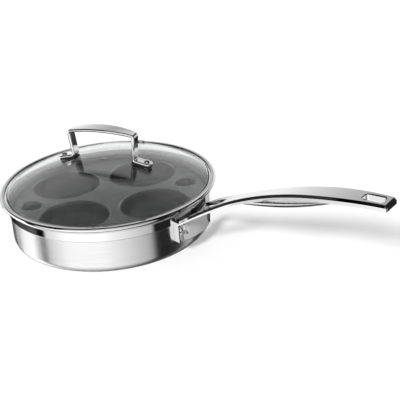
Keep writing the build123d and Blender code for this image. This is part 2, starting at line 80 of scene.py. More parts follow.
class NodeBuilder:
    """Adds and joins shader nodes in one tree."""

    def __init__(self, tree: bpy.types.NodeTree) -> None:
        """Keeps the tree.

        Args:
            tree: The node tree to build in.
        """
        self.tree = tree

    def node(self, kind: str, **settings: object) -> bpy.types.Node:
        """Adds a node.

        Args:
            kind: Blender's name for the node type.
            settings: Attributes to set on it.

        Returns:
            The new node.
        """
        made = self.tree.nodes.new(kind)
        for name, value in settings.items():
            setattr(made, name, value)
        return made

    def link(self, source: bpy.types.NodeSocket, target: bpy.types.NodeSocket) -> None:
        """Joins an output to an input."""
        self.tree.links.new(source, target)

    def feed(self, value: Value, target: bpy.types.NodeSocket) -> None:
        """Joins a socket to an input, or sets a number on it.

        Args:
            value: The socket or the number.
            target: The input.
        """
        if isinstance(value, bpy.types.NodeSocket):
            self.link(value, target)
        else:
            target.default_value = value

    def math(self, operation: str, *values: Value) -> bpy.types.NodeSocket:
        """Adds a math node.

        Args:
            operation: The node's operation.
            values: Numbers or sockets, one for each input.

        Returns:
            Its output.
        """
        made = self.node("ShaderNodeMath", operation=operation)
        for value, target in zip(values, made.inputs):
            self.feed(value, target)
        return made.outputs[0]

    def split(self, vector: bpy.types.NodeSocket) -> bpy.types.Node:
        """Adds a node that splits a vector into X, Y and Z.

        Args:
            vector: The vector.

        Returns:
            The node.
        """
        made = self.node("ShaderNodeSeparateXYZ")
        self.link(vector, made.inputs[0])
        return made

    def ramp(self, share: bpy.types.NodeSocket, stops: Stops, span: float) -> bpy.types.NodeSocket:
        """Adds a grey colour ramp over an angle.

        Args:
            share: The angle as a share of the span, 0.5 at angle 0.
            stops: Pairs of angle and grey level, in degrees.
            span: The whole span of the angle.

        Returns:
            Its colour output.
        """
        made = self.node("ShaderNodeValToRGB")
        elements = made.color_ramp.elements
        places = [angle / span + 0.5 for angle, _ in stops]
        elements[0].position, elements[1].position = places[0], places[-1]
        for place in places[1:-1]:
            elements.new(place)
        for element, place, (_, level) in zip(elements, places, stops):
            element.position = place
            element.color = (level, level, level, 1)
        self.link(share, made.inputs["Fac"])
        return made.outputs["Color"]

    def map_range(
        self,
        source: bpy.types.NodeSocket,
        low: float,
        high: float,
        to_low: float = 0.0,
        to_high: float = 1.0,
    ) -> bpy.types.NodeSocket:
        """Adds a clamped, smooth map from one range to another.

        Args:
            source: The value that it reads.
            low: Start of the range read.
            high: End of the range read.
            to_low: What the start becomes.
            to_high: What the end becomes.

        Returns:
            Its output.
        """
        made = self.node("ShaderNodeMapRange", interpolation_type="SMOOTHSTEP")
        self.link(source, made.inputs["Value"])
        for name, value in (("From Min", low), ("From Max", high), ("To Min", to_low), ("To Max", to_high)):
            made.inputs[name].default_value = value
        return made.outputs["Result"]

    def mix_grey(self, factor: bpy.types.NodeSocket, first: Value, second: Value) -> bpy.types.NodeSocket:
        """Adds a mix of two numbers or sockets.

        Args:
            factor: Share of the second.
            first: Number or socket at factor 0.
            second: Number or socket at factor 1.

        Returns:
            Its output.
        """
        made = self.node("ShaderNodeMix", data_type="FLOAT")
        for value, target in zip((factor, first, second), (made.inputs[0], made.inputs[2], made.inputs[3])):
            self.feed(value, target)
        return made.outputs[0]

    def grey(self, level: bpy.types.NodeSocket, target: bpy.types.NodeSocket) -> None:
        """Joins a grey of some level to a colour input.

        Args:
            level: The grey level.
            target: The colour input.
        """
        colour = self.node("ShaderNodeCombineColor")
        for channel in colour.inputs:
            self.link(level, channel)
        self.link(colour.outputs[0], target)

    def bump(self, height: bpy.types.NodeSocket, strength: Value, shader: bpy.types.Node) -> None:
        """Bumps a shader's normal.

        Args:
            height: Height of the surface, from 0 to 1.
            strength: How much of the bump shows.
            shader: The shader.
        """
        made = self.node("ShaderNodeBump")
        made.inputs["Distance"].default_value = BUMP_DISTANCE
        self.feed(strength, made.inputs["Strength"])
        self.link(height, made.inputs["Height"])
        self.link(made.outputs[0], shader.inputs["Normal"])

    def clear_for(self, share: bpy.types.NodeSocket, shader: bpy.types.Node) -> None:
        """Gives a material its surface, which some rays pass as if it weren't there.

        Args:
            share: Whether a ray passes.
            shader: The surface that the other rays meet.
        """
        clear = self.node("ShaderNodeBsdfTransparent")
        mix = self.node("ShaderNodeMixShader")
        self.link(share, mix.inputs[0])
        self.link(shader.outputs[0], mix.inputs[1])
        self.link(clear.outputs[0], mix.inputs[2])
        self.link(mix.outputs[0], self.tree.nodes["Material Output"].inputs["Surface"])

    def seen_directly(self, path: bpy.types.Node) -> bpy.types.NodeSocket:
        """Whether a ray comes from the camera, straight or through the glass."""
        return self.math("MAXIMUM", path.outputs["Is Camera Ray"], path.outputs["Is Transmission Ray"])


def new_group(
    name: str, numbers: dict[str, float], outputs: Sequence[str]
) -> tuple[bpy.types.NodeTree, NodeBuilder, bpy.types.Node, bpy.types.Node]:
    """Makes an empty shader node group that reads a vector.

    Args:
        name: The group's name.
        numbers: First value of each number that it reads, by name.
        outputs: Name of each number that it puts out.

    Returns:
        The group, its builder, its input node and its output node.
    """
    group = bpy.data.node_groups.new(name, "ShaderNodeTree")
    group.interface.new_socket("Vector", in_out="INPUT", socket_type="NodeSocketVector")
    for label, first in numbers.items():
        made = group.interface.new_socket(label, in_out="INPUT", socket_type="NodeSocketFloat")
        made.default_value = first
    for label in outputs:
        group.interface.new_socket(label, in_out="OUTPUT", socket_type="NodeSocketFloat")
    builder = NodeBuilder(group)
    return group, builder, builder.node("NodeGroupInput"), builder.node("NodeGroupOutput")


def polishing_marks() -> bpy.types.NodeTree:
    """Makes the group for fine parallel marks that run along Vector's X.

    Returns:
        The group, which puts out the marks' height and a mask of the deeper ones.
    """
    group, build, source, target = new_group(
        "polishing_marks",
        {"Marks per metre": MARKS_PER_METRE, "Stretch": LONG_STRETCH},
        ["Height", "Mask"],
    )
    parts = build.split(source.outputs["Vector"])
    across = source.outputs["Marks per metre"]
    along = build.math("DIVIDE", across, source.outputs["Stretch"])
    joined = build.node("ShaderNodeCombineXYZ")
    for axis, scale in enumerate((along, across, across)):
        build.link(build.math("MULTIPLY", parts.outputs[axis], scale), joined.inputs[axis])
    fine = build.node("ShaderNodeTexNoise")
    fine.inputs["Scale"].default_value = 1.0
    fine.inputs["Detail"].default_value = MARKS_DETAIL
    build.link(joined.outputs[0], fine.inputs["Vector"])
    build.link(fine.outputs["Fac"], target.inputs["Height"])
    build.link(build.map_range(fine.outputs["Fac"], *MARKS_RANGE), target.inputs["Mask"])
    return group


def handling_marks() -> bpy.types.NodeTree:
    """Makes the group for cloudy wipe marks and a few fine scratches.

    Returns:
        The group, which puts out a mask of each.
    """
    group, build, source, target = new_group(
        "handling_marks", {"Cloud scale": CLOUD_SCALE}, ["Cloud", "Scratch"]
    )
    cloud = build.node("ShaderNodeTexNoise")
    cloud.inputs["Detail"].default_value = CLOUD_DETAIL
    cloud.inputs["Distortion"].default_value = CLOUD_DISTORTION
    build.link(source.outputs["Vector"], cloud.inputs["Vector"])
    build.link(source.outputs["Cloud scale"], cloud.inputs["Scale"])
    build.link(build.map_range(cloud.outputs["Fac"], *CLOUD_RANGE), target.inputs["Cloud"])
    scratch = build.node("ShaderNodeTexVoronoi", feature="DISTANCE_TO_EDGE")
    warped = build.node("ShaderNodeMapping")
    warped.inputs["Rotation"].default_value = SCRATCH_TURN
    warped.inputs["Scale"].default_value = SCRATCH_STRETCH
    build.link(source.outputs["Vector"], warped.inputs["Vector"])
    build.link(warped.outputs[0], scratch.inputs["Vector"])
    scratch.inputs["Scale"].default_value = SCRATCH_SCALE
    line = build.map_range(scratch.outputs["Distance"], 0.0, SCRATCH_WIDTH, 1.0, 0.0)
    build.link(line, target.inputs["Scratch"])
    return group


MARKS = polishing_marks()
HANDLING = handling_marks()


# ------------------------------------------------------------------ finishes

METAL_CLOUD_SCALE = 35.0
CLOUD_SHARE = 1 / 3              # roughness of the wipe marks over that of the polishing marks
MARKS_DARKENING = 0.03
POLISHED_EDGE = 0.3 * MM         # half the width over which brushed turns into polished
POLISHED_ROUGHNESS = 0.07
BLASTED_ROUGHNESS = 0.45
BLASTED_TONE = 0.72
BLASTED_METALLIC = 0.3
BLASTED_EDGE = 0.4 * MM
UPRIGHT_NORMAL = (0.25, 0.4)     # Z of the normal from which a face fades, and at which it is not upright
ANGLE_TO_LENGTH = 0.1            # radius, in metres, at which marks round the axis have their true length
QUARTER_TURN = 0.25              # lays the stretch of a highlight across the marks
COATING_DETAIL = 2.0
COATING_CLOUD = 0.02             # roughness that wipe marks add to a coating
GLASS_SCRATCH = 0.003


class Grain(Enum):
    """Which way the polishing marks run on a metal piece."""

    ROUND_THE_AXIS = "round"
    ALONG_X = "along_x"
    CLOUDY = "cloudy"


def new_material(name: str) -> tuple[bpy.types.Material, NodeBuilder, bpy.types.Node]:
    """Makes a material with a Principled shader.

    Args:
        name: The material's name.

    Returns:
        The material, its node builder and the shader.
    """
    material = bpy.data.materials.new(name)
    material.use_nodes = True
    build = NodeBuilder(material.node_tree)
    return material, build, material.node_tree.nodes["Principled BSDF"]


@dataclass(frozen=True)
class MetalFinish:
    """A bare surface of steel or aluminium.

    Attributes:
        name: Name of the material.
        tone: Grey level of the metal.
        roughness: Roughness where the marks are shallowest.
        marks_roughness: Roughness added by the marks.
        grain: Which way the marks run.
        anisotropy: How far highlights stretch across the marks.
        polished_above: Height above which the surface is polished, or None.
        bump: Depth of the marks.
        blasted: Two corners of a box in which the upright faces are bead blasted, or None.
    """

    name: str
    tone: float
    roughness: float
    marks_roughness: float
    grain: Grain
    anisotropy: float = 0.0
    polished_above: float | None = None
    bump: float = 0.02
    blasted: tuple[Corner, Corner] | None = None

    def build(self) -> bpy.types.Material:
        """Makes the material.

        Returns:
            The material.
        """
        material, build, shader = new_material(self.name)
        place = build.node("ShaderNodeTexCoord").outputs["Object"]
        marks = build.node("ShaderNodeGroup", node_tree=MARKS)
        build.link(self.marks_vector(build, place), marks.inputs["Vector"])
        if self.grain is Grain.CLOUDY:
            marks.inputs["Stretch"].default_value = SHORT_STRETCH
        rough = self.worn_roughness(build, place, marks.outputs["Mask"])
        depth: Value = self.bump
        if self.polished_above is not None:
            height = build.split(place).outputs["Z"]
            edge = self.polished_above
            share = build.map_range(height, edge - POLISHED_EDGE, edge + POLISHED_EDGE)
            rough = build.mix_grey(share, rough, POLISHED_ROUGHNESS)
            depth = build.mix_grey(share, self.bump, 0.0)
        tone = build.math("MULTIPLY_ADD", marks.outputs["Mask"], -MARKS_DARKENING, self.tone)
        metallic: Value = 1.0
        if self.blasted is not None:
            share = self.blasted_share(build, place)
            rough = build.mix_grey(share, rough, BLASTED_ROUGHNESS)
            tone = build.mix_grey(share, tone, BLASTED_TONE)
            metallic = build.mix_grey(share, 1.0, BLASTED_METALLIC)
        build.feed(metallic, shader.inputs["Metallic"])
        build.link(rough, shader.inputs["Roughness"])
        build.grey(tone, shader.inputs["Base Color"])
        build.bump(marks.outputs["Height"], depth, shader)
        if self.anisotropy:
            shader.inputs["Anisotropic"].default_value = self.anisotropy
            shader.inputs["Anisotropic Rotation"].default_value = QUARTER_TURN
            tangent = build.node("ShaderNodeTangent", direction_type="RADIAL", axis="Z")
            build.link(tangent.outputs[0], shader.inputs["Tangent"])
        return material

    def worn_roughness(
        self, build: NodeBuilder, place: bpy.types.NodeSocket, mask: bpy.types.NodeSocket
    ) -> bpy.types.NodeSocket:
        """Roughness with the polishing marks, wipe marks and scratches.

        Args:
            build: Builder of the material's tree.
            place: Object coordinates.
            mask: Mask of the polishing marks.

        Returns:
            The roughness.
        """
        wear = build.node("ShaderNodeGroup", node_tree=HANDLING)
        build.link(place, wear.inputs["Vector"])
        wear.inputs["Cloud scale"].default_value = METAL_CLOUD_SCALE
        rough: Value = self.roughness
        shares = ((mask, 1.0), (wear.outputs["Cloud"], CLOUD_SHARE), (wear.outputs["Scratch"], 1.0))
        for marked, share in shares:
            rough = build.math("MULTIPLY_ADD", marked, self.marks_roughness * share, rough)
        return rough

    def blasted_share(self, build: NodeBuilder, place: bpy.types.NodeSocket) -> bpy.types.NodeSocket:
        """How far a point lies on the upright faces in the blasted box.

        Args:
            build: Builder of the material's tree.
            place: Object coordinates.

        Returns:
            The share, from 0 to 1.
        """
        parts = build.split(place)
        facing = build.split(build.node("ShaderNodeNewGeometry").outputs["True Normal"])
        share = build.map_range(build.math("ABSOLUTE", facing.outputs["Z"]), *UPRIGHT_NORMAL, 1.0, 0.0)
        for axis, low, high in zip(parts.outputs, *self.blasted):
            within = build.map_range(axis, low - BLASTED_EDGE, low)
            share = build.math("MULTIPLY", share, within)
            within = build.map_range(axis, high, high + BLASTED_EDGE, 1.0, 0.0)
            share = build.math("MULTIPLY", share, within)
        return share

    def marks_vector(self, build: NodeBuilder, place: bpy.types.NodeSocket) -> bpy.types.NodeSocket:
        """Coordinates whose X runs along the marks.

        Args:
            build: Builder of the material's tree.
            place: Object coordinates.

        Returns:
            The coordinates.
        """
        if self.grain is not Grain.ROUND_THE_AXIS:
            return place
        parts = build.split(place)
        angle = build.math("ARCTAN2", parts.outputs["Y"], parts.outputs["X"])
        flat = build.math("MULTIPLY", parts.outputs["X"], parts.outputs["X"])
        flat = build.math("MULTIPLY_ADD", parts.outputs["Y"], parts.outputs["Y"], flat)
        radius = build.math("SQRT", flat)
        joined = build.node("ShaderNodeCombineXYZ")
        build.link(build.math("MULTIPLY", angle, ANGLE_TO_LENGTH), joined.inputs[0])
        build.link(radius, joined.inputs[1])
        build.link(parts.outputs["Z"], joined.inputs[2])
        return joined.outputs[0]


@dataclass(frozen=True)
class CoatingFinish:
    """A baked or moulded dielectric surface, such as a non-stick coating or rubber.

    Attributes:
        name: Name of the material.
        tone: Grey level.
        roughness: Base roughness.
        speckle: How much the tone varies from grain to grain.
        texture_scale: Grains per metre.
        bump: Depth of the texture.
        ior: Refractive index, which sets the strength of its shine.
    """

    name: str
    tone: float
    roughness: float
    speckle: float
    texture_scale: float = 900.0
    bump: float = 0.05
    ior: float = 1.45

    def build(self) -> bpy.types.Material:
        """Makes the material.

        Returns:
            The material.
        """
        material, build, shader = new_material(self.name)
        place = build.node("ShaderNodeTexCoord").outputs["Object"]
        grain = build.node("ShaderNodeTexNoise")
        grain.inputs["Scale"].default_value = self.texture_scale
        grain.inputs["Detail"].default_value = COATING_DETAIL
        build.link(place, grain.inputs["Vector"])
        wear = build.node("ShaderNodeGroup", node_tree=HANDLING)
        build.link(place, wear.inputs["Vector"])
        darkest = self.tone - self.speckle / 2
        tone = build.math("MULTIPLY_ADD", grain.outputs["Fac"], self.speckle, darkest)
        build.grey(tone, shader.inputs["Base Color"])
        rough = build.math("MULTIPLY_ADD", wear.outputs["Cloud"], COATING_CLOUD, self.roughness)
        build.link(rough, shader.inputs["Roughness"])
        shader.inputs["IOR"].default_value = self.ior
        build.bump(grain.outputs["Fac"], self.bump, shader)
        return material


@dataclass(frozen=True)
class GlassFinish:
    """Clear tempered glass that lets the light of the lamps through.

    Attributes:
        name: Name of the material.
        tint: Colour of the glass.
        ior: Refractive index.
    """

    name: str
    tint: tuple[float, float, float]
    ior: float = 1.45

    def build(self) -> bpy.types.Material:
        """Makes the material.

        Returns:
            The material.
        """
        material, build, shader = new_material(self.name)
        place = build.node("ShaderNodeTexCoord").outputs["Object"]
        wear = build.node("ShaderNodeGroup", node_tree=HANDLING)
        build.link(place, wear.inputs["Vector"])
        rough = build.math("MULTIPLY", wear.outputs["Scratch"], GLASS_SCRATCH)
        build.link(rough, shader.inputs["Roughness"])
        shader.inputs["Base Color"].default_value = (*self.tint, 1)
        shader.inputs["Transmission Weight"].default_value = 1.0
        shader.inputs["IOR"].default_value = self.ior
        path = build.node("ShaderNodeLightPath")
        passes = build.math("MAXIMUM", path.outputs["Is Shadow Ray"], path.outputs["Is Diffuse Ray"])
        build.clear_for(passes, shader)
        return material


STEP_HEIGHT = 35 * MM            # the wall's step, below which it is brushed
# Box round the boss in the middle of the pan handle's bracket.
BRACKET_BOSS = ((0.1045, -0.0236, 0.019), (0.1125, 0.0236, 0.0372))

BRUSHED_WALL = MetalFinish(
    "brushed_pan_wall",
    tone=0.90,
    roughness=0.22,
    marks_roughness=0.03,
    grain=Grain.ROUND_THE_AXIS,
    anisotropy=0.95,
    polished_above=STEP_HEIGHT,
    bump=0.002,
)
BRUSHED_INSIDE = MetalFinish(
    "brushed_pan_inside",
    tone=0.86,
    roughness=0.25,
    marks_roughness=0.08,
    grain=Grain.ROUND_THE_AXIS,
    anisotropy=0.5,
    bump=0.004,
)
PLAIN_ALUMINIUM = MetalFinish(
    "plain_aluminium", tone=0.80, roughness=0.35, marks_roughness=0.08, grain=Grain.ROUND_THE_AXIS
)
CAST_HANDLE = MetalFinish(
    "polished_cast_handle",
    tone=0.86,
    roughness=0.07,
    marks_roughness=0.02,
    grain=Grain.ALONG_X,
    bump=0.001,
    blasted=BRACKET_BOSS,
)
POLISHED_RIVET = MetalFinish(
    "polished_rivet", tone=0.86, roughness=0.06, marks_roughness=0.02, grain=Grain.CLOUDY, bump=0.002
)
ROLLED_BAND = MetalFinish(
    "polished_rim_band",
    tone=0.88,
    roughness=0.04,
    marks_roughness=0.02,
    grain=Grain.ROUND_THE_AXIS,
    bump=0.001,
)
LID_HANDLE = MetalFinish(
    "polished_lid_handle", tone=0.86, roughness=0.06, marks_roughness=0.02, grain=Grain.ALONG_X, bump=0.001
)
BRIGHT_FASTENER = MetalFinish(
    "bright_fastener", tone=0.84, roughness=0.07, marks_roughness=0.03, grain=Grain.CLOUDY, bump=0.002
)
NON_STICK = CoatingFinish(
    "non_stick_coating", tone=0.007, roughness=0.20, speckle=0.004, bump=0.002, ior=1.30
)
BLACK_SILICONE = CoatingFinish(
    "black_silicone", tone=0.015, roughness=0.55, speckle=0.006, texture_scale=500.0
)
CLEAR_GLASS = GlassFinish("clear_lid_glass", (0.97, 0.98, 0.98))


# ------------------------------------------------------------------ mesh work

RING_TOLERANCE = 0.002           # radians
END_TOLERANCE = 0.05 * MM
END_REACH = 10 * MM
MERGE_DISTANCE = 0.01 * MM
SMOOTH_ANGLE = 32                # degrees, below which an edge is shaded smooth
LARGE_FACE_WEIGHT = 80
DRILL_POINTS = 32


def select_only(piece: bpy.types.Object) -> None:
    """Selects one piece, and nothing else, in object mode.

    Args:
        piece: The piece.
    """
    bpy.ops.object.select_all(action="DESELECT")
    bpy.context.view_layer.objects.active = piece
    piece.select_set(True)


def start_edit(piece: bpy.types.Object) -> None:
    """Opens one piece, and nothing else, in edit mode with nothing selected.

    Args:
        piece: The piece.
    """
    select_only(piece)
    bpy.ops.object.mode_set(mode="EDIT")
    bpy.ops.mesh.select_mode(type="VERT")
    bpy.ops.mesh.select_all(action="DESELECT")


def pick(piece: bpy.types.Object, wanted: PlaceTest) -> None:
    """Selects the vertices whose place passes a test, and no others.

    Args:
        piece: The mesh in edit mode.
        wanted: The test.
    """
    mesh = bmesh.from_edit_mesh(piece.data)
    for vertex in mesh.verts:
        vertex.select_set(wanted(vertex.co))
    mesh.select_flush(True)
    mesh.select_flush(False)
    bmesh.update_edit_mesh(piece.data)


def selected_middle(piece: bpy.types.Object) -> Vector:
    """Middle of the selected vertices."""
    places = [vertex.co.copy() for vertex in bmesh.from_edit_mesh(piece.data).verts if vertex.select]
    return sum(places, Vector()) / len(places)


def apply_modifier(piece: bpy.types.Object, kind: str, **settings: object) -> None:
    """Adds one modifier and applies it.

    Args:
        piece: The mesh, in object mode.
        kind: Blender's name for the modifier type.
        settings: Attributes to set on it.
    """
    select_only(piece)
    modifier = piece.modifiers.new(kind.lower(), kind)
    for name, value in settings.items():
        setattr(modifier, name, value)
    bpy.ops.object.modifier_apply(modifier=modifier.name)


def anywhere(place: Vector) -> bool:
    """Whether a point may be picked, which every point may."""
    return True


def at_angle(centre: Vector, angle: float) -> PlaceTest:
    """Makes a test for the points of one ring of a bend whose middle lies on the Z axis.

    Args:
        centre: Middle of the bend.
        angle: The ring's angle from upright, in radians.

    Returns:
        The test.
    """

    def on_ring(place: Vector) -> bool:
        """Whether a point lies on the ring."""
        return abs(math.atan2(place.x, place.z - centre.z) - angle) < RING_TOLERANCE

    return on_ring


def at_end(centre: Vector, along: Vector) -> PlaceTest:
    """Makes a test for the points of a swept section's end ring.

    Args:
        centre: Middle of the ring.
        along: Direction in which the section is swept.

    Returns:
        The test.
    """

    def on_end(place: Vector) -> bool:
        """Whether a point lies on the end ring."""
        out = place - centre
        return abs(out.dot(along)) < END_TOLERANCE and out.length < END_REACH

    return on_end


def in_upright_plane(place: tuple[float, float]) -> Vector:
    """Turns X and Z in millimetres into a point or a way in the XZ plane."""
    return Vector((place[0] * MM, 0, place[1] * MM))


# ------------------------------------------------------------------ sub-assemblies


class SubAssembly:
    """A part of the pan that moves as one body.

    Attributes:
        body: Name of its body.
    """

    body: str

    def dress(self, node: str, material: bpy.types.Material) -> None:
        """Gives a carried-over CAD node its finish.

        Args:
            node: The node's name.
            material: The finish.
        """
        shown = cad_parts[node]
        for slot in shown.material_slots:
            slot.material = material
        log.info("%s: %s keeps its CAD shape, dressed with %s", self.body, node, material.name)


@dataclass
class PanAssembly(SubAssembly):
    """The clad bowl with its riveted handle.

    Attributes:
        body: Name of its body.
    """

    body: str = "pan"

    def build(self) -> None:
        """Dresses the three layers, the handle and the rivets."""
        self.dress("pan_outer_ply", BRUSHED_WALL.build())
        self.dress("pan_core_ply", PLAIN_ALUMINIUM.build())
        self.dress("pan_inner_ply", BRUSHED_INSIDE.build())
        self.dress("pan_handle", CAST_HANDLE.build())
        self.dress("handle_rivets", POLISHED_RIVET.build())


@dataclass
class TrayAssembly(SubAssembly):
    """The pressed tray with its four wells.

    Attributes:
        body: Name of its body.
    """

    body: str = "tray"

    def build(self) -> None:
        """Dresses the tray."""
        self.dress("egg_tray", NON_STICK.build())


@dataclass
class LidAssembly(SubAssembly):
    """The glass lid: its rim band, its arched handle, its fasteners and its vent.

    Lengths are in millimetres and angles in degrees. Places are in the handle's own upright plane:
    X outwards along the handle, Z up.

    Attributes:
        body: Name of its body.
        turn: The lid handle's turn from the pan handle.
        thickness: Thickness of the arch.
        bar_half_width: Half the bar's width in its middle.
        leg_half_width: Half the width of the legs and feet.
        bar_top: Height of the bar's middle line at the crest.
        bar_radius: Radius of the bar's bow.
        bar_slope: Slope where the bow meets the corner.
        corner_middle: Middle of the corner bend.
        corner_turn: How far the corner turns.
        leg_run: The leg's run down, from the corner to the foot bend.
        foot_middle: Middle of the foot bend.
        foot_turn: How far the foot bend turns.
        foot_run: The foot's run from its bend to its tip.
        screw_place: Middle of the foot round the screw.
        screw_lean: Lean of the screw from upright.
        hole_radius: Radius of the screw hole.
        tip_steps: For each step of the rounded tip: distance before the tip, how far each side
            draws in, and share of the thickness that is left.
        section_points: Points round the arch's section.
        bar_rings: Rings along half the bar.
        bend_rings: Rings round the corner, and as many round the foot bend.
    """

    body: str = "lid"
    turn: float = 12.5
    thickness: float = 3.4
    bar_half_width: float = 8.0
    leg_half_width: float = 5.4
    bar_top: float = 108.1409
    bar_radius: float = 154.0861
    bar_slope: float = 12.5
    corner_middle: tuple[float, float] = (32.701, 101.5596)
    corner_turn: float = 83.5
    leg_run: tuple[float, float] = (-2.2443, -21.3531)
    foot_middle: tuple[float, float] = (35.8271, 79.642)
    foot_turn: float = 83.75
    foot_run: tuple[float, float] = (16.465, -3.5734)
    screw_place: tuple[float, float] = (46.1151, 74.9533)
    screw_lean: float = 12.2454
    hole_radius: float = 2.05
    tip_steps: tuple[tuple[float, float, float], ...] = (
        (3.4, 0.0, 1.0),
        (2.0, 0.8, 1.0),
        (0.9, 2.0, 0.98),
        (0.3, 3.0, 0.85),
        (0.0, 3.6, 0.6),
    )
    section_points: int = 22
    bar_rings: int = 14
    bend_rings: int = 8

    def build(self) -> None:
        """Builds the handle and dresses the rest."""
        self.build_handle()
        self.dress("lid_glass", CLEAR_GLASS.build())
        self.dress("lid_rim_band", ROLLED_BAND.build())
        rubber = BLACK_SILICONE.build()
        for node in ("lid_foot_seals", "lid_inner_seals"):
            self.dress(node, rubber)
        fastener = BRIGHT_FASTENER.build()
        for node in (
            "lid_handle_screws",
            "lid_inner_washers",
            "lid_handle_nuts",
            "steam_vent_eyelet",
            "steam_vent_ring",
        ):
            self.dress(node, fastener)

    def build_handle(self) -> None:
        """Models the arched handle with full-round sides, and hangs it on the lid."""
        half = self.thickness / 2
        bpy.ops.object.select_all(action="DESELECT")
        bpy.ops.mesh.primitive_circle_add(
            vertices=self.section_points,
            radius=half * MM,
            fill_type="NOTHING",
            location=(0, 0, self.bar_top * MM),
            rotation=(0, math.radians(90), 0),
        )
        arch = bpy.context.object
        arch.name = "lid_arch_handle"
        bpy.ops.object.transform_apply(location=True, rotation=True, scale=True)
        start_edit(arch)
        self.draw_sides(arch, anywhere, self.bar_half_width - half)
        self.shape_bar(arch)
        self.shape_leg(arch)
        self.shape_foot(arch)
        bpy.ops.object.mode_set(mode="OBJECT")
        apply_modifier(arch, "MIRROR", use_axis=(True, False, False), merge_threshold=MERGE_DISTANCE)
        self.drill_feet(arch)
        self.finish_handle(arch)
        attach(arch, "lid")
        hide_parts("lid_handle")
        log.info("%s: built lid_arch_handle, %d faces", self.body, len(arch.data.polygons))

    def finish_handle(self, arch: bpy.types.Object) -> None:
        """Turns the handle to its place on the lid, smooths its shading and polishes it.

        Args:
            arch: The whole handle in object mode.
        """
        arch.rotation_euler = (0, 0, math.radians(self.turn))
        select_only(arch)
        bpy.ops.object.transform_apply(location=True, rotation=True, scale=True)
        start_edit(arch)
        bpy.ops.mesh.select_all(action="SELECT")
        bpy.ops.mesh.normals_make_consistent(inside=False)
        bpy.ops.object.mode_set(mode="OBJECT")
        bpy.ops.object.shade_smooth_by_angle(angle=math.radians(SMOOTH_ANGLE))
        apply_modifier(arch, "WEIGHTED_NORMAL", keep_sharp=True, weight=LARGE_FACE_WEIGHT)
        arch.data.materials.append(LID_HANDLE.build())

    def draw_sides(self, arch: bpy.types.Object, wanted: PlaceTest, distance: float) -> None:
        """Moves both sides of the section outwards.

        Args:
            arch: The handle in edit mode.
            wanted: Test of the points that may move.
            distance: How far, in millimetres.
        """
        for side in (-1, 1):
            pick(arch, lambda place: wanted(place) and place.y * side > 0)
            bpy.ops.transform.translate(value=(0, side * distance * MM, 0))

    def spin(self, centre: Vector, turn: float, steps: int, clockwise: bool = True) -> None:
        """Spins the selected end ring of the section about a bend's middle.

        Args:
            centre: Middle of the bend.
            turn: Angle of the bend.
            steps: Number of rings.
            clockwise: Which way it turns, seen from the front.
        """
        bpy.ops.mesh.spin(
            steps=steps,
            angle=math.radians(turn),
            center=centre,
            axis=(0, -1 if clockwise else 1, 0),
            use_normal_flip=False,
        )

    def bar_middle(self) -> Vector:
        """Middle of the bar's bow."""
        return in_upright_plane((0, self.bar_top - self.bar_radius))

    def shape_bar(self, arch: bpy.types.Object) -> None:
        """Sweeps the bowed bar out from its middle, and narrows it towards its end.

        Args:
            arch: The handle in edit mode.
        """
        centre = self.bar_middle()
        pick(arch, anywhere)
        self.spin(centre, self.bar_slope, self.bar_rings)
        end = self.bar_radius * math.sin(math.radians(self.bar_slope))
        sagitta = self.bar_half_width - self.leg_half_width
        outline = (end**2 + sagitta**2) / (2 * sagitta)
        for ring in range(1, self.bar_rings + 1):
            angle = math.radians(self.bar_slope * ring / self.bar_rings)
            across = self.bar_radius * math.sin(angle)
            drawn_in = outline - math.sqrt(outline**2 - across**2)
            self.draw_sides(arch, at_angle(centre, angle), -drawn_in)

    def shape_leg(self, arch: bpy.types.Object) -> None:
        """Bends the bar down into the leg, and the leg out towards the foot.

        Args:
            arch: The handle in edit mode.
        """
        pick(arch, at_angle(self.bar_middle(), math.radians(self.bar_slope)))
        self.spin(in_upright_plane(self.corner_middle), self.corner_turn, self.bend_rings)
        bpy.ops.mesh.extrude_region_move(
            TRANSFORM_OT_translate={"value": tuple(in_upright_plane(self.leg_run))}
        )
        self.spin(in_upright_plane(self.foot_middle), self.foot_turn, self.bend_rings, clockwise=False)

    def shape_foot(self, arch: bpy.types.Object) -> None:
        """Draws the foot out from the selected end ring, rounds its tip and closes it.

        Args:
            arch: The handle in edit mode.
        """
        run = in_upright_plane(self.foot_run)
        along = run.normalized()
        reached = 0.0
        drawn_in = 0.0
        for before_tip, inward, share in self.tip_steps:
            advance = run.length - before_tip * MM - reached
            reached += advance
            bpy.ops.mesh.extrude_region_move(TRANSFORM_OT_translate={"value": tuple(along * advance)})
            centre = selected_middle(arch)
            on_end = at_end(centre, along)
            self.draw_sides(arch, on_end, drawn_in - inward)
            drawn_in = inward
            pick(arch, on_end)
            if share < 1:
                bpy.ops.transform.resize(value=(1, 1, share), center_override=centre)
        bpy.ops.mesh.edge_face_add()

    def drill_feet(self, arch: bpy.types.Object) -> None:
        """Cuts the screw hole in each foot.

        Args:
            arch: The whole handle in object mode.
        """
        for side in (-1, 1):
            bpy.ops.object.select_all(action="DESELECT")
            bpy.ops.mesh.primitive_cylinder_add(
                vertices=DRILL_POINTS,
                radius=self.hole_radius * MM,
                depth=4 * self.thickness * MM,
                location=(side * self.screw_place[0] * MM, 0, self.screw_place[1] * MM),
                rotation=(0, side * math.radians(self.screw_lean), 0),
            )
            drill = bpy.context.object
            apply_modifier(arch, "BOOLEAN", operation="DIFFERENCE", object=drill, solver="EXACT")
            bpy.data.objects.remove(drill, do_unlink=True)


# ------------------------------------------------------------------ studio


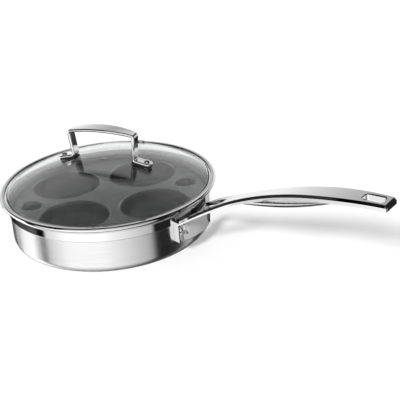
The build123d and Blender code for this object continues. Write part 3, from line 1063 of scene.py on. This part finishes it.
@dataclass
class PhotoCamera:
    """The camera that took the photograph.

    Attributes:
        place: Where it stands, in metres.
        turn_degrees: How it is turned.
        lens_mm: Focal length.
        sensor_mm: Width of the sensor.
        clip_range: Nearest and furthest distance that it sees, in metres.
    """

    place: tuple[float, float, float] = (0.628508, -0.685896, 0.456243)
    turn_degrees: tuple[float, float, float] = (64.7958, 4.1479, 34.9288)
    lens_mm: float = 90.0
    sensor_mm: float = 36.0
    clip_range: tuple[float, float] = (0.05, 50.0)

    def build(self) -> None:
        """Makes the camera and gives it to the scene."""
        data = bpy.data.cameras.new("photo_camera")
        data.lens = self.lens_mm
        data.sensor_width = self.sensor_mm
        data.clip_start, data.clip_end = self.clip_range
        camera = bpy.data.objects.new("photo_camera", data)
        camera.location = self.place
        camera.rotation_euler = [math.radians(angle) for angle in self.turn_degrees]
        bpy.context.scene.collection.objects.link(camera)
        bpy.context.scene.camera = camera


def collection_of(name: str, nodes: Sequence[str]) -> bpy.types.Collection:
    """Makes a collection of CAD nodes for a lamp to be linked to.

    Args:
        name: The collection's name.
        nodes: Names of the nodes.

    Returns:
        The collection.
    """
    made = bpy.data.collections.new(name)
    for node in nodes:
        made.objects.link(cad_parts[node])
    return made


@dataclass
class Studio:
    """Floor, lamps and the white studio with dark cards that the steel reflects.

    Angles are in degrees. A side angle is measured from the camera's side of the pan, seen from
    above, and is positive to the right of the picture. A height angle is measured from level.

    Attributes:
        camera_side: Direction of the camera from the pan, from +X.
        floor_size: Side of the floor, in metres.
        floor_tone: Grey level of the floor.
        floor_roughness: Roughness of the floor.
        floor_glow: Light that the floor adds where it is seen directly.
        fill: Level at which the walls light matt surfaces.
        lamp_distance: How far the lamps hang from the pan, in metres.
        key_place: Side and height angle of the key lamp.
        key_power: Power of the key lamp.
        key_spread: Angle that the key lamp fills, which softens its shadow.
        back_sides: Side angles of the two lamps behind the tray.
        back_height: Height angle of those two.
        back_size: Side of each of those two, in metres.
        back_power: Power of each of those two.
        steady_cards: Brightness of walls and cards by side angle, at every height.
        low_cards: Share left of the walls by side angle, in the low band.
        low_band: How much of the low cards shows, by height angle.
        clear_behind: Side angles, either way, over which plain walls take over behind the pan.
        clear_above: Height angles over which they take over.
        high_cards: Share left of the walls by side angle, above the pan.
        high_edge: Height angles over which the high cards begin.
        upward_fade: Share left of the walls by height angle.
    """

    camera_side: float = -47.5
    floor_size: float = 60.0
    floor_tone: float = 0.86
    floor_roughness: float = 0.9
    floor_glow: float = 0.24
    fill: float = 0.40
    lamp_distance: float = 1.5
    key_place: tuple[float, float] = (-28.0, 37.3)
    key_power: float = 2.7
    key_spread: float = 11.0
    back_sides: tuple[float, float] = (-158.0, 158.0)
    back_height: float = 40.0
    back_size: float = 0.3
    back_power: float = 14.0
    steady_cards: Stops = (
        (-180, 0.05),
        (-146, 0.05),
        (-141, 0.02),
        (-137, 1.9),
        (-98, 1.7),
        (-95, 0.03),
        (-86, 0.03),
        (-81, 0.75),
        (-55, 1.15),
        (-15, 1.15),
        (15, 0.80),
        (41, 0.50),
        (46, 0.015),
        (80, 0.015),
        (88, 0.50),
        (98, 0.50),
        (101, 0.02),
        (134, 0.02),
        (138, 0.60),
        (180, 0.40),
    )
    low_cards: Stops = ((-180, 1.0), (-155, 1.0), (-152, 0.008), (-86, 0.02), (-82, 1.0), (180, 1.0))
    low_band: Stops = ((-29, 0), (-27.5, 1), (-23, 1), (-21, 0))
    clear_behind: tuple[float, float] = (100, 122)
    clear_above: tuple[float, float] = (-16, -2)
    high_cards: Stops = (
        (-180, 1.0),
        (-146, 1.0),
        (-140, 0.03),
        (-60, 0.03),
        (-52, 0.8),
        (60, 0.8),
        (90, 0.08),
        (125, 0.08),
        (140, 1.0),
        (180, 1.0),
    )
    high_edge: tuple[float, float] = (9, 15)
    upward_fade: Stops = (
        (-90, 0.25),
        (-60, 0.50),
        (-45, 0.80),
        (-36, 1.0),
        (8, 1.0),
        (15, 0.75),
        (26, 0.42),
        (34, 0.80),
        (48, 0.70),
        (60, 0.10),
        (66, 0.02),
        (80, 0.02),
        (88, 0.50),
        (90, 0.50),
    )

    def build(self) -> None:
        """Makes the whole studio."""
        self.build_world()
        self.build_floor()
        self.build_key()
        self.build_back_lamps()
        bpy.context.scene.view_settings.view_transform = "Standard"

    def build_key(self) -> None:
        """Makes the key lamp, whose shadow on the floor is the pan handle's alone."""
        key = self.lamp("key_softbox", "SUN", *self.key_place)
        key.data.energy = self.key_power
        key.data.angle = math.radians(self.key_spread)
        key.visible_glossy = False
        key.visible_transmission = False
        blockers = collection_of("key_softbox_blockers", ("pan_handle", "handle_rivets"))
        key.light_linking.blocker_collection = blockers

    def build_back_lamps(self) -> None:
        """Makes the two lamps behind the pan, which light only the tray."""
        receivers = collection_of("tray_softbox_receivers", ("egg_tray",))
        for side_angle in self.back_sides:
            back = self.lamp(f"back_softbox_{side_angle:.0f}", "AREA", side_angle, self.back_height)
            back.data.size = self.back_size
            back.data.energy = self.back_power
            back.light_linking.receiver_collection = receivers

    def lamp(self, name: str, kind: str, side_angle: float, height_angle: float) -> bpy.types.Object:
        """Makes one lamp that points at the pan.

        Args:
            name: The lamp's name.
            kind: Blender's name for the lamp type.
            side_angle: Where it hangs, seen from above.
            height_angle: Its angle above the floor.

        Returns:
            The lamp.
        """
        data = bpy.data.lights.new(name, kind)
        lamp = bpy.data.objects.new(name, data)
        turn = math.radians(self.camera_side + side_angle)
        lift = math.radians(height_angle)
        out = Vector((math.cos(turn) * math.cos(lift), math.sin(turn) * math.cos(lift), math.sin(lift)))
        lamp.location = out * self.lamp_distance
        lamp.rotation_euler = (-out).to_track_quat("-Z", "Y").to_euler()
        bpy.context.scene.collection.objects.link(lamp)
        return lamp

    def build_floor(self) -> None:
        """Makes the white floor, which keeps the pan's shadow."""
        bpy.ops.mesh.primitive_plane_add(size=self.floor_size)
        floor = bpy.context.object
        floor.name = "studio_floor"
        material, build, shader = new_material("white_floor")
        shader.inputs["Base Color"].default_value = (self.floor_tone, self.floor_tone, self.floor_tone, 1)
        shader.inputs["Roughness"].default_value = self.floor_roughness
        shader.inputs["Specular IOR Level"].default_value = 0.0
        path = build.node("ShaderNodeLightPath")
        shader.inputs["Emission Color"].default_value = (1, 1, 1, 1)
        glow = build.math("MULTIPLY", build.seen_directly(path), self.floor_glow)
        build.link(glow, shader.inputs["Emission Strength"])
        build.clear_for(path.outputs["Is Glossy Ray"], shader)
        floor.data.materials.append(material)

    def build_world(self) -> None:
        """Makes the studio's walls: white to the camera, with the dark cards in reflections."""
        world = bpy.data.worlds.new("studio")
        world.use_nodes = True
        bpy.context.scene.world = world
        build = NodeBuilder(world.node_tree)
        build.tree.nodes.clear()
        level = self.reflected_level(build)
        path = build.node("ShaderNodeLightPath")
        level = build.mix_grey(path.outputs["Is Diffuse Ray"], level, self.fill)
        level = build.mix_grey(build.seen_directly(path), level, 1.0)
        background = build.node("ShaderNodeBackground")
        background.inputs["Color"].default_value = (1, 1, 1, 1)
        build.link(level, background.inputs["Strength"])
        output = build.node("ShaderNodeOutputWorld")
        build.link(background.outputs[0], output.inputs["Surface"])

    def reflected_level(self, build: NodeBuilder) -> bpy.types.NodeSocket:
        """How bright the walls and cards are in a reflection, by direction.

        Args:
            build: Builder of the world's tree.

        Returns:
            The brightness.
        """
        direction = build.node("ShaderNodeTexCoord").outputs["Generated"]
        turned = build.node("ShaderNodeVectorRotate", rotation_type="Z_AXIS")
        turned.inputs["Angle"].default_value = math.radians(-self.camera_side)
        build.link(direction, turned.inputs["Vector"])
        parts = build.split(turned.outputs[0])
        side = build.math("ARCTAN2", parts.outputs["Y"], parts.outputs["X"])
        side_share = build.math("MULTIPLY_ADD", side, 0.5 / math.pi, 0.5)
        height = build.math("ARCSINE", parts.outputs["Z"])
        height_share = build.math("MULTIPLY_ADD", height, 1 / math.pi, 0.5)
        steady = build.ramp(side_share, self.steady_cards, 360)
        low = build.ramp(side_share, self.low_cards, 360)
        in_low = build.ramp(height_share, self.low_band, 180)
        walls = build.math("MULTIPLY", steady, build.mix_grey(in_low, 1.0, low))
        behind = build.map_range(build.math("ABSOLUTE", side), *map(math.radians, self.clear_behind))
        above = build.map_range(height, *map(math.radians, self.clear_above))
        level = build.mix_grey(build.math("MULTIPLY", behind, above), walls, 1.0)
        level = build.math("MULTIPLY", level, build.ramp(height_share, self.upward_fade, 180))
        high = build.ramp(side_share, self.high_cards, 360)
        in_high = build.map_range(height, *map(math.radians, self.high_edge))
        return build.math("MULTIPLY", level, build.mix_grey(in_high, 1.0, high))


# ------------------------------------------------------------------ main


def main() -> None:
    """Builds the scene."""
    logging.basicConfig(level=logging.INFO)
    bpy.ops.object.select_all(action="DESELECT")
    PhotoCamera().build()
    for assembly in (PanAssembly(), TrayAssembly(), LidAssembly()):
        assembly.build()
    Studio().build()


if __name__ == "__main__":
    main()
